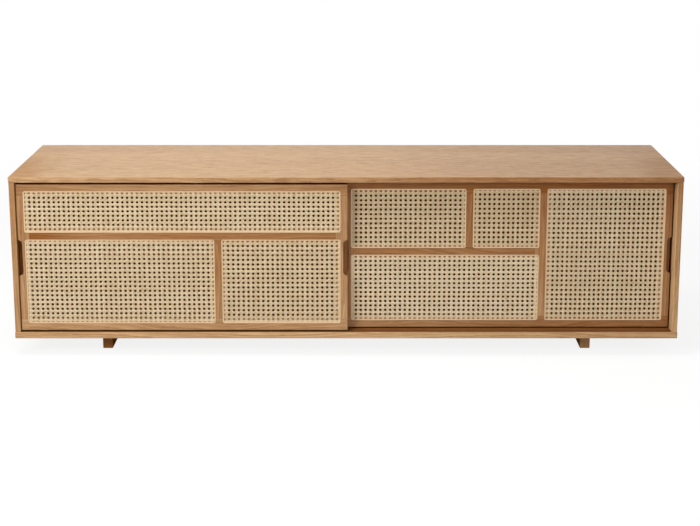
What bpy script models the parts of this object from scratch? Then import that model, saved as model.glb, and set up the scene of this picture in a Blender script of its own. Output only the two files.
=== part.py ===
"""Low oak media cabinet on two runner feet, closed by two sliding doors filled with woven cane.

Lengths are in metres. X runs along the width, the front faces -Y and Z points up. The origin is
on the floor under the middle of the cabinet. The left door runs in the front track and the
right door in the rear track, so that each door can pass the other.
"""
import math

import bmesh
import bpy
from mathutils import Vector

for old_object in list(bpy.data.objects):
    bpy.data.objects.remove(old_object, do_unlink=True)

# Overall size
WIDTH = 1.700
DEPTH = 0.450
HEIGHT = 0.470

# Gap left between two pieces that touch
FIT = 0.0003

# Carcass boards
TOP_THICKNESS = 0.014
BASE_THICKNESS = 0.016
SIDE_THICKNESS = 0.014
DIVIDER_THICKNESS = 0.014
SLAB_ROUNDING = 0.0015
SLAB_CORNER_RADIUS = 0.004
BOARD_ROUNDING = 0.001
SIDE_END_OVERHANG = 0.0015
SIDE_FRONT_OVERHANG = 0.001

# Back panel, held in a groove round the carcass, with a round cable outlet each side of the divider
BACK_THICKNESS = 0.005
BACK_INSET = 0.008
BACK_GROOVE_DEPTH = 0.005
OUTLET_DIAMETER = 0.060
OUTLET_DROP = 0.066
OUTLET_SPREAD = 0.420

# Adjustable shelves on pins
SHELF_THICKNESS = 0.014
SHELF_RISE = 0.182
SHELF_SETBACK = 0.018
SHELF_CABLE_GAP = 0.030
SHELF_SIDE_CLEARANCE = 0.0007
PIN_DIAMETER = 0.005
PIN_REACH = 0.010
PIN_SEAT = 0.006
PIN_COLLAR_DIAMETER = 0.008
PIN_COLLAR_THICKNESS = 0.0015
PIN_INSET = 0.050
PIN_STAGGER = 0.014

# Runner feet, their floor pads and the screws that hold them
FOOT_HEIGHT = 0.048
FOOT_WIDTH = 0.026
FOOT_END_INSET = 0.215
FOOT_FRONT_SETBACK = 0.060
FOOT_BACK_SETBACK = 0.060
FOOT_ROUNDING = 0.002
PAD_DIAMETER = 0.020
PAD_THICKNESS = 0.002
PAD_INSET = 0.030
SCREW_HEAD_DIAMETER = 0.009
SCREW_HEAD_DEPTH = 0.003
SCREW_SHANK_DIAMETER = 0.0045
SCREW_LENGTH = 0.040
SCREW_TIP = 0.004
SCREW_SOCKET_DIAMETER = 0.004
SCREW_SOCKET_DEPTH = 0.002
SCREW_SOCKET_SIDES = 6
SCREW_INSET = 0.080

# Sliding doors: their place in the opening
DOOR_SETBACK = 0.008
DOOR_THICKNESS = 0.022
DOOR_SPACING = 0.006
DOOR_TOP_GAP = 0.006
DOOR_BOTTOM_GAP = 0.0045
LEFT_DOOR_END_GAP = 0.0015
RIGHT_DOOR_END_GAP = 0.0037
DOOR_OVERLAP = 0.0086
DIVIDER_DOOR_GAP = 0.004

# Door frames: the face that shows, the rebate for the cane and the stub tenons
FRAME_FACE = 0.0168
FRAME_ROUNDING = 0.0006
REBATE_WIDTH = 0.012
REBATE_DEPTH = 0.003
REBATE_RADIUS = 0.004
TENON_THICKNESS = 0.008
TENON_LENGTH = 0.010
TENON_SHOULDER = 0.006

# How the cane divides each door, as the sizes of the cane that show
LEFT_UPPER_CANE_HEIGHT = 0.1087
LEFT_WIDE_CANE_WIDTH = 0.482
RIGHT_UPPER_CANE_HEIGHT = 0.1556
RIGHT_SMALL_CANE_WIDTH = 0.1712
RIGHT_TALL_CANE_WIDTH = 0.303

# Cane sheets, with the fine weave gathered into a coarse net
CANE_THICKNESS = 0.0022
NET_PITCH = 0.043
NET_STRAND = 0.016

# Finger pulls, open to the front and to the outer edge of a stile
PULL_HEIGHT = 0.094
PULL_WIDTH = 0.011
PULL_DEPTH = 0.015
PULL_END_FLAT = 0.0005

# Plastic tracks let into the base, grooves in the top, bottom glides and top guide pins
TRACK_DEPTH = 0.005
TRACK_WALL = 0.001
TRACK_EDGE = 0.003
TOP_GROOVE_DEPTH = 0.008
GUIDE_WIDTH = 0.009
GUIDE_SIDE_CLEARANCE = 0.0005
GUIDE_ENGAGEMENT = 0.003
GUIDE_FLANGE_DIAMETER = 0.013
GUIDE_FLANGE_THICKNESS = 0.0015
GLIDE_LENGTH = 0.050
GLIDE_ROUNDING = 0.003
SPIGOT_DIAMETER = 0.007
SPIGOT_LENGTH = 0.012
SPIGOT_ROOT = 0.002
RUNNER_INSET = 0.090

# Roundness and reach of the drawn shapes
ARC_SEGMENTS = 3
ARC_PROFILE = 0.5
EASING_SEGMENTS = 2
EASED_ANGLE = math.radians(60)
TURNED_STEPS = 12
OUTLET_SEGMENTS = 32
CUT_OVERRUN = 0.002
MERGE_DISTANCE = 0.00001

# Finishes as colour, roughness and metallic value
OAK = ((0.480, 0.300, 0.168, 1.0), 0.48, 0.0)
STAINED_PLY = ((0.202, 0.098, 0.042, 1.0), 0.60, 0.0)
CANE = ((0.600, 0.440, 0.270, 1.0), 0.62, 0.0)
NYLON = ((0.055, 0.032, 0.018, 1.0), 0.40, 0.0)
TRACK_PLASTIC = ((0.085, 0.042, 0.018, 1.0), 0.50, 0.0)
FELT = ((0.170, 0.120, 0.085, 1.0), 0.95, 0.0)
STEEL = ((0.560, 0.560, 0.570, 1.0), 0.35, 1.0)

# Planes that follow from the sizes above
FRONT = -DEPTH / 2
BACK = DEPTH / 2
BASE_TOP = FOOT_HEIGHT + BASE_THICKNESS
TOP_UNDERSIDE = HEIGHT - TOP_THICKNESS
SIDE_OUTER = WIDTH / 2 - SIDE_END_OVERHANG
SIDE_INNER = SIDE_OUTER - SIDE_THICKNESS
BACK_PANEL_REAR = BACK - BACK_INSET
BACK_PANEL_FRONT = BACK_PANEL_REAR - BACK_THICKNESS
DOOR_TOP = TOP_UNDERSIDE - DOOR_TOP_GAP
DOOR_BOTTOM = BASE_TOP + DOOR_BOTTOM_GAP
DOOR_WIDTH = (2 * SIDE_INNER - LEFT_DOOR_END_GAP - RIGHT_DOOR_END_GAP + DOOR_OVERLAP) / 2
LEFT_DOOR_FRONT = FRONT + DOOR_SETBACK
RIGHT_DOOR_FRONT = LEFT_DOOR_FRONT + DOOR_THICKNESS + DOOR_SPACING
DIVIDER_FRONT = RIGHT_DOOR_FRONT + DOOR_THICKNESS + DIVIDER_DOOR_GAP
SHELF_FRONT = DIVIDER_FRONT + SHELF_SETBACK
SHELF_BACK = BACK_PANEL_FRONT - SHELF_CABLE_GAP
SHELF_UNDERSIDE = BASE_TOP + SHELF_RISE
SHELF_SIDE_GAP = FIT + PIN_COLLAR_THICKNESS + SHELF_SIDE_CLEARANCE
FRAME_WIDTH = FRAME_FACE + REBATE_WIDTH
GUIDE_ROOM = GUIDE_WIDTH + 2 * GUIDE_SIDE_CLEARANCE
TRACK_WIDTH = GUIDE_ROOM + 2 * TRACK_WALL
TRACK_FLOOR = BASE_TOP - TRACK_DEPTH

parts = bpy.data.collections.new("tv_cabinet")
cutters = bpy.data.collections.new("tv_cabinet_cutters")
bpy.context.scene.collection.children.link(parts)
bpy.context.scene.collection.children.link(cutters)


def put(name, mesh, centre, collection, carrier):
    """Link a mesh as an object whose origin is at a world point, carried by an optional empty."""
    piece = bpy.data.objects.new(name, mesh)
    collection.objects.link(piece)
    piece.location = centre
    if carrier:
        piece.parent = carrier
        piece.location = centre - carrier.location
    return piece


def part(name, mesh, centre, finish, carrier=None):
    """A piece of the cabinet with its own material."""
    piece = put(name, mesh, centre, parts, carrier)
    colour, roughness, metallic = finish
    material = bpy.data.materials.new(name + "_finish")
    material.use_nodes = True
    shader = material.node_tree.nodes["Principled BSDF"]
    shader.inputs["Base Color"].default_value = colour
    shader.inputs["Roughness"].default_value = roughness
    shader.inputs["Metallic"].default_value = metallic
    mesh.materials.append(material)
    return piece


def tool(name, mesh, centre, carrier=None):
    """A hidden shape that is cut from a piece or joined to it."""
    shape = put(name, mesh, centre, cutters, carrier)
    shape.hide_render = True
    shape.display_type = "WIRE"
    return shape


def box_mesh(name, size, round_axis=None, radius=0.0):
    """A box round its own centre, with the edges along one axis rounded where that is asked for."""
    shape = bmesh.new()
    bmesh.ops.create_cube(shape, size=1.0)
    bmesh.ops.scale(shape, vec=size, verts=shape.verts)
    if round_axis is not None:
        edges = []
        for edge in shape.edges:
            run = edge.verts[1].co - edge.verts[0].co
            if abs(run[round_axis]) > size[round_axis] / 2:
                edges.append(edge)
        bmesh.ops.bevel(shape, geom=edges, offset=radius, segments=ARC_SEGMENTS,
                        profile=ARC_PROFILE, affect="EDGES")
    mesh = bpy.data.meshes.new(name)
    shape.to_mesh(mesh)
    shape.free()
    return mesh


def cylinder_mesh(name, diameter, length, segments=TURNED_STEPS):
    """A closed cylinder along Z round its own centre."""
    shape = bmesh.new()
    bmesh.ops.create_cone(shape, cap_ends=True, segments=segments, radius1=diameter / 2,
                          radius2=diameter / 2, depth=length)
    mesh = bpy.data.meshes.new(name)
    shape.to_mesh(mesh)
    shape.free()
    return mesh


def turned_mesh(name, profile):
    """Open profile of (radius, height) points, from the top of the axis round to its foot."""
    shape = bmesh.new()
    points = [shape.verts.new((radius, 0.0, height)) for radius, height in profile]
    for first, second in zip(points, points[1:]):
        shape.edges.new((first, second))
    mesh = bpy.data.meshes.new(name)
    shape.to_mesh(mesh)
    shape.free()
    return mesh


def turn(piece):
    """Spin a profile round the local Z axis."""
    lathe = piece.modifiers.new("turned", "SCREW")
    lathe.axis = "Z"
    lathe.angle = math.tau
    lathe.screw_offset = 0.0
    lathe.steps = TURNED_STEPS
    lathe.render_steps = TURNED_STEPS
    lathe.use_merge_vertices = True
    lathe.merge_threshold = MERGE_DISTANCE


def round_edges(piece, radius):
    """Ease every arris of a board."""
    bevel = piece.modifiers.new("eased_edges", "BEVEL")
    bevel.width = radius
    bevel.segments = EASING_SEGMENTS
    bevel.limit_method = "ANGLE"
    bevel.angle_limit = EASED_ANGLE


def combine(piece, shape, operation):
    """Cut a shape from a piece, or join it to the piece."""
    boolean = piece.modifiers.new(shape.name, "BOOLEAN")
    boolean.operation = operation
    boolean.solver = "EXACT"
    boolean.object = shape


def cut(piece, shape):
    combine(piece, shape, "DIFFERENCE")


def join(piece, shape):
    combine(piece, shape, "UNION")


def board(name, low, high, rounding, finish=OAK, carrier=None, corner_radius=0.0):
    """A flat board between two corners, with rounded upright edges where that is asked for."""
    low = Vector(low)
    high = Vector(high)
    round_axis = 2 if corner_radius else None
    mesh = box_mesh(name, high - low, round_axis, corner_radius)
    piece = part(name, mesh, (low + high) / 2, finish, carrier)
    round_edges(piece, rounding)
    return piece


def box_tool(name, low, high, carrier=None, round_axis=None, radius=0.0):
    """A box-shaped cutter between two corners."""
    low = Vector(low)
    high = Vector(high)
    mesh = box_mesh(name, high - low, round_axis, radius)
    return tool(name, mesh, (low + high) / 2, carrier)


# Top and base: two slabs that run over the ends of the side panels
top_panel = board(
    "top_panel",
    (-WIDTH / 2, FRONT, TOP_UNDERSIDE),
    (WIDTH / 2, BACK, HEIGHT),
    SLAB_ROUNDING,
    corner_radius=SLAB_CORNER_RADIUS,
)
base_panel = board(
    "base_panel",
    (-WIDTH / 2, FRONT, FOOT_HEIGHT),
    (WIDTH / 2, BACK, BASE_TOP),
    SLAB_ROUNDING,
    corner_radius=SLAB_CORNER_RADIUS,
)

# Runs of the doors: a plastic track let into the base, and a deeper groove routed in the top. The
# front track has a broad lip that leaves only a narrow edge of the base in front of it.
for run, door_front, track_front in (
    ("front", LEFT_DOOR_FRONT, FRONT + TRACK_EDGE),
    ("rear", RIGHT_DOOR_FRONT, RIGHT_DOOR_FRONT + (DOOR_THICKNESS - TRACK_WIDTH) / 2),
):
    run_middle = door_front + DOOR_THICKNESS / 2
    track_low = Vector((-SIDE_INNER + FIT, track_front, TRACK_FLOOR - TRACK_WALL))
    track_high = Vector((SIDE_INNER - FIT, run_middle + TRACK_WIDTH / 2, BASE_TOP))
    base_track = part(
        f"{run}_base_track",
        box_mesh(f"{run}_base_track", track_high - track_low),
        (track_low + track_high) / 2,
        TRACK_PLASTIC,
    )
    channel = box_tool(
        f"{run}_track_channel",
        (-SIDE_INNER, run_middle - GUIDE_ROOM / 2, TRACK_FLOOR),
        (SIDE_INNER, run_middle + GUIDE_ROOM / 2, BASE_TOP + CUT_OVERRUN),
    )
    cut(base_track, channel)
    base_groove = box_tool(
        f"{run}_base_groove",
        (-SIDE_INNER, track_low.y - FIT, track_low.z - FIT),
        (SIDE_INNER, track_high.y + FIT, BASE_TOP + CUT_OVERRUN),
    )
    cut(base_panel, base_groove)
    top_groove = box_tool(
        f"{run}_top_groove",
        (-SIDE_INNER, run_middle - GUIDE_ROOM / 2, TOP_UNDERSIDE - CUT_OVERRUN),
        (SIDE_INNER, run_middle + GUIDE_ROOM / 2, TOP_UNDERSIDE + TOP_GROOVE_DEPTH),
    )
    cut(top_panel, top_groove)

# Side panels between the slabs, and the divider between the two compartments
left_side_panel = board(
    "left_side_panel",
    (-SIDE_OUTER, FRONT + SIDE_FRONT_OVERHANG, BASE_TOP + FIT),
    (-SIDE_INNER, BACK, TOP_UNDERSIDE - FIT),
    BOARD_ROUNDING,
)
right_side_panel = board(
    "right_side_panel",
    (SIDE_INNER, FRONT + SIDE_FRONT_OVERHANG, BASE_TOP + FIT),
    (SIDE_OUTER, BACK, TOP_UNDERSIDE - FIT),
    BOARD_ROUNDING,
)
centre_divider = board(
    "centre_divider",
    (-DIVIDER_THICKNESS / 2, DIVIDER_FRONT, BASE_TOP + FIT),
    (DIVIDER_THICKNESS / 2, BACK_PANEL_FRONT - FIT, TOP_UNDERSIDE - FIT),
    BOARD_ROUNDING,
)

# Thin back panel in a groove that runs round the top, the base and both sides
back_reach = SIDE_INNER + BACK_GROOVE_DEPTH
back_panel = part(
    "back_panel",
    box_mesh("back_panel", Vector((
        2 * (back_reach - FIT),
        BACK_THICKNESS,
        TOP_UNDERSIDE - BASE_TOP + 2 * (BACK_GROOVE_DEPTH - FIT),
    ))),
    Vector((0.0, BACK_PANEL_FRONT + BACK_THICKNESS / 2, (BASE_TOP + TOP_UNDERSIDE) / 2)),
    STAINED_PLY,
)
back_groove = box_tool(
    "back_groove",
    (-back_reach, BACK_PANEL_FRONT - FIT, BASE_TOP - BACK_GROOVE_DEPTH),
    (back_reach, BACK_PANEL_REAR + FIT, TOP_UNDERSIDE + BACK_GROOVE_DEPTH),
)
for grooved_board in (top_panel, base_panel, left_side_panel, right_side_panel):
    cut(grooved_board, back_groove)

# Round cable outlets through the back, high up on each side of the divider. Leads from below rise
# behind the shelf.
for side_name, side in (("left", -1), ("right", 1)):
    outlet = tool(
        f"{side_name}_cable_outlet",
        cylinder_mesh(f"{side_name}_cable_outlet", OUTLET_DIAMETER,
                      BACK_THICKNESS + 2 * CUT_OVERRUN, OUTLET_SEGMENTS),
        Vector((side * OUTLET_SPREAD, BACK_PANEL_FRONT + BACK_THICKNESS / 2,
                TOP_UNDERSIDE - OUTLET_DROP)),
    )
    outlet.rotation_euler.x = math.pi / 2
    cut(back_panel, outlet)


# Shelf pins: a turned peg whose collar stops it against the wall that it is pushed into
def shelf_pin(name, wall, wall_x, direction, y):
    """A pin in the wall at wall_x that points along X in the given direction."""
    pin_z = SHELF_UNDERSIDE - FIT - PIN_DIAMETER / 2
    peg = PIN_DIAMETER / 2
    collar = PIN_COLLAR_DIAMETER / 2
    profile = (
        (0.0, PIN_REACH),
        (peg, PIN_REACH),
        (peg, FIT + PIN_COLLAR_THICKNESS),
        (collar, FIT + PIN_COLLAR_THICKNESS),
        (collar, FIT),
        (peg, FIT),
        (peg, -PIN_SEAT),
        (0.0, -PIN_SEAT),
    )
    mouth = Vector((wall_x, y, pin_z))
    pin = part(name, turned_mesh(name, profile), mouth, STEEL)
    pin.rotation_euler.y = direction * math.pi / 2
    turn(pin)
    hole_length = PIN_SEAT + FIT + CUT_OVERRUN
    hole_middle = (CUT_OVERRUN - PIN_SEAT - FIT) / 2
    hole = tool(
        name + "_hole",
        cylinder_mesh(name + "_hole", PIN_DIAMETER + 2 * FIT, hole_length),
        mouth + Vector((direction * hole_middle, 0.0, 0.0)),
    )
    hole.rotation_euler.y = direction * math.pi / 2
    cut(wall, hole)


# One shelf in each compartment, on a pin near each corner. The pins on the two faces of the
# divider stand apart, so that their holes never meet.
for side_name, wall, wall_x, divider_x, pin_inset in (
    ("left", left_side_panel, -SIDE_INNER, -DIVIDER_THICKNESS / 2, PIN_INSET),
    ("right", right_side_panel, SIDE_INNER, DIVIDER_THICKNESS / 2, PIN_INSET + PIN_STAGGER),
):
    low_x = min(wall_x, divider_x)
    high_x = max(wall_x, divider_x)
    board(
        f"{side_name}_shelf",
        (low_x + SHELF_SIDE_GAP, SHELF_FRONT, SHELF_UNDERSIDE),
        (high_x - SHELF_SIDE_GAP, SHELF_BACK, SHELF_UNDERSIDE + SHELF_THICKNESS),
        BOARD_ROUNDING,
    )
    inward = math.copysign(1.0, divider_x - wall_x)
    for depth_name, pin_y in (
        ("front", SHELF_FRONT + pin_inset),
        ("rear", SHELF_BACK - pin_inset),
    ):
        shelf_pin(f"{side_name}_shelf_{depth_name}_side_pin", wall, wall_x, inward, pin_y)
        shelf_pin(f"{side_name}_shelf_{depth_name}_divider_pin", centre_divider, divider_x, -inward,
                  pin_y)


# Runner feet: a plank on edge under each end, screwed from inside the cabinet
def foot_screw(name, x, y, foot):
    """A countersunk screw down through the base into a foot, with its clearance hole."""
    head = SCREW_HEAD_DIAMETER / 2
    shank = SCREW_SHANK_DIAMETER / 2

    def outline(clearance):
        return (
            (head + clearance, 0.0),
            (shank + clearance, -SCREW_HEAD_DEPTH),
            (shank + clearance, SCREW_TIP - SCREW_LENGTH - clearance),
            (0.0, -SCREW_LENGTH - clearance),
        )

    seat = Vector((x, y, BASE_TOP - 2 * FIT))
    screw = part(name, turned_mesh(name, ((0.0, 0.0),) + outline(0.0)), seat, STEEL)
    turn(screw)
    socket = tool(
        name + "_socket",
        cylinder_mesh(name + "_socket", SCREW_SOCKET_DIAMETER, 2 * SCREW_SOCKET_DEPTH,
                      SCREW_SOCKET_SIDES),
        seat,
    )
    cut(screw, socket)
    mouth = ((0.0, CUT_OVERRUN), (head + FIT, CUT_OVERRUN))
    hole = tool(name + "_hole", turned_mesh(name + "_hole", mouth + outline(FIT)), seat)
    turn(hole)
    cut(base_panel, hole)
    cut(foot, hole)


foot_front = FRONT + FOOT_FRONT_SETBACK
foot_back = BACK - FOOT_BACK_SETBACK
foot_middle = WIDTH / 2 - FOOT_END_INSET - FOOT_WIDTH / 2
for side_name, foot_x in (("left", -foot_middle), ("right", foot_middle)):
    runner_foot = board(
        f"{side_name}_runner_foot",
        (foot_x - FOOT_WIDTH / 2, foot_front, PAD_THICKNESS + FIT),
        (foot_x + FOOT_WIDTH / 2, foot_back, FOOT_HEIGHT - FIT),
        FOOT_ROUNDING,
    )
    for end_name, end_y, inward in (("front", foot_front, 1), ("rear", foot_back, -1)):
        foot_screw(f"{side_name}_foot_{end_name}_screw", foot_x, end_y + inward * SCREW_INSET,
                   runner_foot)
        pad_name = f"{side_name}_foot_{end_name}_pad"
        part(
            pad_name,
            cylinder_mesh(pad_name, PAD_DIAMETER, PAD_THICKNESS),
            Vector((foot_x, end_y + inward * PAD_INSET, PAD_THICKNESS / 2)),
            FELT,
        )


# Sliding doors
class Door:
    """One door: its edges, the empty that carries it along X and the members of its frame."""

    def __init__(self, name, left, front):
        self.name = name
        self.left = left
        self.right = left + DOOR_WIDTH
        self.front = front
        self.middle = front + DOOR_THICKNESS / 2
        self.members = []
        self.carrier = bpy.data.objects.new(name + "_slide", None)
        self.carrier.location = ((self.left + self.right) / 2, self.middle, DOOR_BOTTOM)
        parts.objects.link(self.carrier)

    def member(self, name, x_low, x_high, z_low, z_high):
        """A frame member through the whole thickness of the door."""
        low = Vector((x_low, self.front, z_low))
        high = Vector((x_high, self.front + DOOR_THICKNESS, z_high))
        piece = board(f"{self.name}_{name}", low, high, FRAME_ROUNDING, OAK, self.carrier)
        self.members.append((piece, low, high))
        return piece

    def tenoned(self, name, x_low, x_high, z_low, z_high, axis, supports):
        """A member with a stub tenon at each end, and the mortises in the members that it meets."""
        piece = self.member(name, x_low, x_high, z_low, z_high)
        half_thickness = TENON_THICKNESS / 2
        low = Vector((x_low, self.middle - half_thickness, z_low))
        high = Vector((x_high, self.middle + half_thickness, z_high))
        across = 2 - axis
        low[axis] -= TENON_LENGTH
        high[axis] += TENON_LENGTH
        low[across] += TENON_SHOULDER
        high[across] -= TENON_SHOULDER
        join(piece, box_tool(piece.name + "_tenon", low, high, self.carrier))
        room = Vector((FIT, FIT, FIT))
        mortise = box_tool(piece.name + "_mortise", low - room, high + room, self.carrier)
        for support in supports:
            cut(support, mortise)
        return piece

    def rail(self, name, x_low, x_high, z_low, z_high, supports):
        """A rail whose face shows between two heights, tenoned between two upright members."""
        return self.tenoned(name, x_low + REBATE_WIDTH + FIT, x_high - REBATE_WIDTH - FIT,
                            z_low - REBATE_WIDTH, z_high + REBATE_WIDTH, 0, supports)

    def post(self, name, x_low, x_high, z_low, z_high, supports):
        """An upright whose face shows between two sides, tenoned between two rails."""
        return self.tenoned(name, x_low - REBATE_WIDTH, x_high + REBATE_WIDTH,
                            z_low + REBATE_WIDTH + FIT, z_high - REBATE_WIDTH - FIT, 2, supports)

    def stile(self, name, x_low, x_high, edge):
        """An outer upright between the rails, with a finger pull in its outer edge."""
        piece = self.tenoned(name, x_low, x_high, DOOR_BOTTOM + FRAME_WIDTH + FIT,
                             DOOR_TOP - FRAME_WIDTH - FIT, 2, (self.top_rail, self.bottom_rail))
        pull_middle = (DOOR_TOP + DOOR_BOTTOM) / 2
        pull = box_tool(
            piece.name + "_finger_pull",
            (edge - PULL_WIDTH, self.front - CUT_OVERRUN, pull_middle - PULL_HEIGHT / 2),
            (edge + PULL_WIDTH, self.front + PULL_DEPTH, pull_middle + PULL_HEIGHT / 2),
            self.carrier,
            round_axis=1,
            radius=PULL_WIDTH - PULL_END_FLAT,
        )
        cut(piece, pull)
        return piece

    def frame(self):
        """Rails across the whole door, and two stiles between them."""
        self.top_rail = self.member("top_rail", self.left, self.right, DOOR_TOP - FRAME_WIDTH,
                                    DOOR_TOP)
        self.bottom_rail = self.member("bottom_rail", self.left, self.right, DOOR_BOTTOM,
                                       DOOR_BOTTOM + FRAME_WIDTH)
        self.left_stile = self.stile("left_stile", self.left, self.left + FRAME_WIDTH, self.left)
        self.right_stile = self.stile("right_stile", self.right - FRAME_WIDTH, self.right,
                                      self.right)

    def runners(self):
        """Two glides under the bottom rail, and two guide pins on top of the top rail."""
        ends = (("left", self.left + RUNNER_INSET), ("right", self.right - RUNNER_INSET))
        for end_name, x in ends:
            self.glide(f"{self.name}_{end_name}_glide", x)
            self.guide(f"{self.name}_{end_name}_guide_pin", x)

    def glide(self, name, x):
        """A nylon shoe that carries the door on the floor of its track."""
        shoe_bottom = TRACK_FLOOR + FIT
        shoe_top = DOOR_BOTTOM - FIT
        size = Vector((GLIDE_LENGTH, GUIDE_WIDTH, shoe_top - shoe_bottom))
        rounding = min(GLIDE_ROUNDING, GUIDE_WIDTH / 2 - FIT)
        shoe = part(name, box_mesh(name, size, 2, rounding),
                    Vector((x, self.middle, (shoe_top + shoe_bottom) / 2)), NYLON, self.carrier)
        spigot_size = SPIGOT_LENGTH + SPIGOT_ROOT
        spigot_middle = Vector((x, self.middle, shoe_top + (SPIGOT_LENGTH - SPIGOT_ROOT) / 2))
        spigot = tool(name + "_spigot",
                      cylinder_mesh(name + "_spigot", SPIGOT_DIAMETER, spigot_size),
                      spigot_middle, self.carrier)
        join(shoe, spigot)
        bore = tool(name + "_bore",
                    cylinder_mesh(name + "_bore", SPIGOT_DIAMETER + 2 * FIT, spigot_size + 2 * FIT),
                    spigot_middle, self.carrier)
        cut(self.bottom_rail, bore)

    def guide(self, name, x):
        """A turned nylon pin that keeps the top of the door in its groove."""
        spigot = SPIGOT_DIAMETER / 2
        flange = GUIDE_FLANGE_DIAMETER / 2
        nose = GUIDE_WIDTH / 2
        nose_top = DOOR_TOP_GAP + GUIDE_ENGAGEMENT
        profile = (
            (0.0, nose_top),
            (nose, nose_top),
            (nose, FIT + GUIDE_FLANGE_THICKNESS),
            (flange, FIT + GUIDE_FLANGE_THICKNESS),
            (flange, FIT),
            (spigot, FIT),
            (spigot, -SPIGOT_LENGTH),
            (0.0, -SPIGOT_LENGTH),
        )
        seat = Vector((x, self.middle, DOOR_TOP))
        turn(part(name, turned_mesh(name, profile), seat, NYLON, self.carrier))
        bore_length = SPIGOT_LENGTH + FIT + CUT_OVERRUN
        bore_middle = (CUT_OVERRUN - SPIGOT_LENGTH - FIT) / 2
        bore = tool(name + "_bore",
                    cylinder_mesh(name + "_bore", SPIGOT_DIAMETER + 2 * FIT, bore_length),
                    seat + Vector((0.0, 0.0, bore_middle)), self.carrier)
        cut(self.top_rail, bore)

    def cane(self, name, x_low, x_high, z_low, z_high):
        """A cane sheet in a rounded rebate, which is cut in each frame member that it laps."""
        low = Vector((x_low, self.front - CUT_OVERRUN, z_low))
        high = Vector((x_high, self.front + REBATE_DEPTH, z_high))
        rebate = box_tool(f"{self.name}_{name}_rebate", low, high, self.carrier, 1, REBATE_RADIUS)
        for piece, piece_low, piece_high in self.members:
            width = min(high.x, piece_high.x) - max(low.x, piece_low.x)
            height = min(high.z, piece_high.z) - max(low.z, piece_low.z)
            if width > FIT and height > FIT:
                cut(piece, rebate)
        size_x = x_high - x_low - 2 * FIT
        size_z = z_high - z_low - 2 * FIT
        centre_y = self.front + REBATE_DEPTH - FIT - CANE_THICKNESS / 2
        sheet = part(f"{self.name}_{name}", net_mesh(f"{self.name}_{name}", size_x, size_z),
                     Vector(((x_low + x_high) / 2, centre_y, (z_low + z_high) / 2)), CANE,
                     self.carrier)
        sheet.rotation_euler.x = math.pi / 2
        thickness = sheet.modifiers.new("sheet_thickness", "SOLIDIFY")
        thickness.thickness = CANE_THICKNESS
        thickness.offset = 0.0


def net_lines(length):
    """Places of the strand edges along a side, from one edge of the sheet to the other."""
    span = length - 2 * REBATE_WIDTH
    count = max(1, round((span + NET_STRAND) / NET_PITCH))
    gap = (span - (count - 1) * NET_STRAND) / count
    lines = [-length / 2]
    for index in range(count):
        start = -span / 2 + index * (gap + NET_STRAND)
        lines += [start, start + gap]
    lines.append(length / 2)
    return lines


def net_mesh(name, size_x, size_z):
    """A flat grid with its gaps taken out, a plain margin and rounded corners."""
    columns = net_lines(size_x)
    rows = net_lines(size_z)
    net = bmesh.new()
    bmesh.ops.create_grid(net, x_segments=len(columns) - 1, y_segments=len(rows) - 1, size=0.5)
    for vertex in net.verts:
        column = round((vertex.co.x + 0.5) * (len(columns) - 1))
        row = round((vertex.co.y + 0.5) * (len(rows) - 1))
        vertex.co.x = columns[column]
        vertex.co.y = rows[row]
    gaps = []
    for face in net.faces:
        middle = face.calc_center_median()
        column = sum(line < middle.x for line in columns)
        row = sum(line < middle.y for line in rows)
        if column % 2 == 0 and row % 2 == 0:
            gaps.append(face)
    bmesh.ops.delete(net, geom=gaps, context="FACES")
    corners = [vertex for vertex in net.verts if len(vertex.link_faces) == 1]
    bmesh.ops.bevel(net, geom=corners, offset=REBATE_RADIUS, segments=ARC_SEGMENTS,
                    profile=ARC_PROFILE, affect="VERTICES")
    mesh = bpy.data.meshes.new(name)
    net.to_mesh(mesh)
    net.free()
    return mesh


# Left door, in the front track: a long cane over a wide one and a narrow one
left_door = Door("left_door", -SIDE_INNER + LEFT_DOOR_END_GAP, LEFT_DOOR_FRONT)
left_door.frame()
left_door.runners()
cane_left = left_door.left + FRAME_FACE
cane_right = left_door.right - FRAME_FACE
cane_top = DOOR_TOP - FRAME_FACE
cane_bottom = DOOR_BOTTOM + FRAME_FACE
rail_top = cane_top - LEFT_UPPER_CANE_HEIGHT
rail_bottom = rail_top - FRAME_FACE
post_left = cane_left + LEFT_WIDE_CANE_WIDTH
post_right = post_left + FRAME_FACE
left_middle_rail = left_door.rail("middle_rail", cane_left, cane_right, rail_bottom, rail_top,
                                  (left_door.left_stile, left_door.right_stile))
left_door.post("mullion", post_left, post_right, cane_bottom, rail_bottom,
               (left_middle_rail, left_door.bottom_rail))
left_door.cane("upper_cane", cane_left, cane_right, rail_top, cane_top)
left_door.cane("wide_cane", cane_left, post_left, cane_bottom, rail_bottom)
left_door.cane("narrow_cane", post_right, cane_right, cane_bottom, rail_bottom)

# Right door, in the rear track: one tall cane beside two canes over a wide one
right_door = Door("right_door", SIDE_INNER - RIGHT_DOOR_END_GAP - DOOR_WIDTH, RIGHT_DOOR_FRONT)
right_door.frame()
right_door.runners()
cane_left = right_door.left + FRAME_FACE
cane_right = right_door.right - FRAME_FACE
tall_left = cane_right - RIGHT_TALL_CANE_WIDTH
small_right = tall_left - FRAME_FACE
small_left = small_right - RIGHT_SMALL_CANE_WIDTH
upper_right = small_left - FRAME_FACE
rail_top = cane_top - RIGHT_UPPER_CANE_HEIGHT
rail_bottom = rail_top - FRAME_FACE
tall_mullion = right_door.post("tall_mullion", small_right, tall_left, cane_bottom, cane_top,
                               (right_door.top_rail, right_door.bottom_rail))
right_middle_rail = right_door.rail("middle_rail", cane_left, small_right, rail_bottom, rail_top,
                                    (right_door.left_stile, tall_mullion))
right_door.post("short_mullion", upper_right, small_left, rail_top, cane_top,
                (right_door.top_rail, right_middle_rail))
right_door.cane("upper_cane", cane_left, upper_right, rail_top, cane_top)
right_door.cane("small_cane", small_left, small_right, rail_top, cane_top)
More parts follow.
